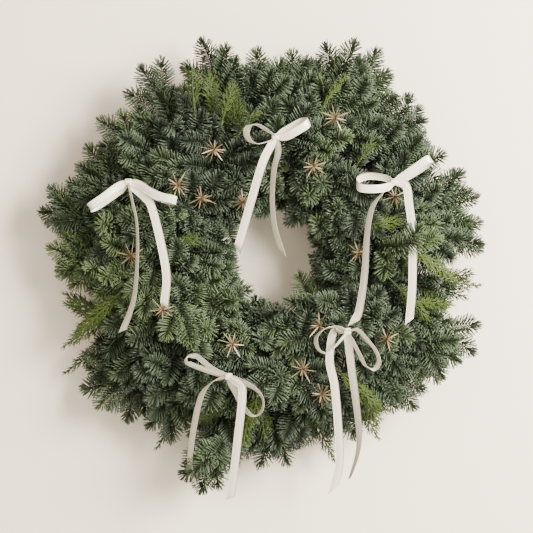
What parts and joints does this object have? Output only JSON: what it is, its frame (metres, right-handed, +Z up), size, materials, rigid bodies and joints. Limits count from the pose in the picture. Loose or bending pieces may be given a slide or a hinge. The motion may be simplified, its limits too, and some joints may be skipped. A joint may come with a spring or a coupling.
{
  "type": "evergreen wreath",
  "caption": "Round wreath of fir sprays and cedar fronds set in a straw ring, with satin ribbon bows and gold straw stars, hung flat on a wall by a wire loop.",
  "frame": {"origin": "where the nail that the hanging eye rests on meets the wall", "axes": "+X right as seen from the front, +Y into the wall, +Z up; the whole part lies in front of the wall plane y = 0"},
  "size_m": [0.5491, 0.1268, 0.5678],
  "materials": {
    "straw": "matte",
    "wire": "satin",
    "fir": "matte",
    "cedar": "matte",
    "satin": "satin",
    "gold_straw": "satin"
  },
  "bodies": {
    "root": {"binding_wire": "wire", "cedar_fronds_bottom": "cedar", "cedar_fronds_left_1": "cedar", "cedar_fronds_left_2": "cedar", "cedar_fronds_lower_left_1": "cedar", "cedar_fronds_lower_left_2": "cedar", "cedar_fronds_lower_right": "cedar", "cedar_fronds_right": "cedar", "cedar_fronds_top_left": "cedar", "fir_spray_inner_1": "fir", "fir_spray_inner_2": "fir", "fir_spray_inner_3": "fir", "fir_spray_inner_4": "fir", "fir_spray_inner_5": "fir", "fir_spray_inner_6": "fir", "fir_spray_inner_7": "fir", "fir_spray_left_1": "fir", "fir_spray_left_2": "fir", "fir_spray_left_3": "fir", "fir_spray_left_4": "fir", "fir_spray_left_5": "fir", "fir_spray_left_6": "fir", "fir_spray_left_7": "fir", "fir_spray_lower_1": "fir", "fir_spray_lower_2": "fir", "fir_spray_lower_3": "fir", "fir_spray_lower_4": "fir", "fir_spray_lower_5": "fir", "fir_spray_right_1": "fir", "fir_spray_right_2": "fir", "fir_spray_right_3": "fir", "fir_spray_right_4": "fir", "fir_spray_right_5": "fir", "fir_spray_right_6": "fir", "fir_spray_right_7": "fir", "fir_spray_top": "fir", "fir_spray_top_left": "fir", "fir_spray_top_right": "fir", "hanging_loop": "wire", "ribbon_bow_left": "satin", "ribbon_bow_lower_left": "satin", "ribbon_bow_lower_right": "satin", "ribbon_bow_right": "satin", "ribbon_bow_top": "satin", "straw_ring": "straw", "straw_star_01": "gold_straw", "straw_star_02": "gold_straw", "straw_star_03": "gold_straw", "straw_star_04": "gold_straw", "straw_star_05": "gold_straw", "straw_star_06": "gold_straw", "straw_star_07": "gold_straw", "straw_star_08": "gold_straw", "straw_star_09": "gold_straw", "straw_star_10": "gold_straw", "straw_star_11": "gold_straw", "straw_star_12": "gold_straw", "straw_star_13": "gold_straw", "straw_star_14": "gold_straw", "straw_star_15": "gold_straw"}
  },
  "joints": []
}
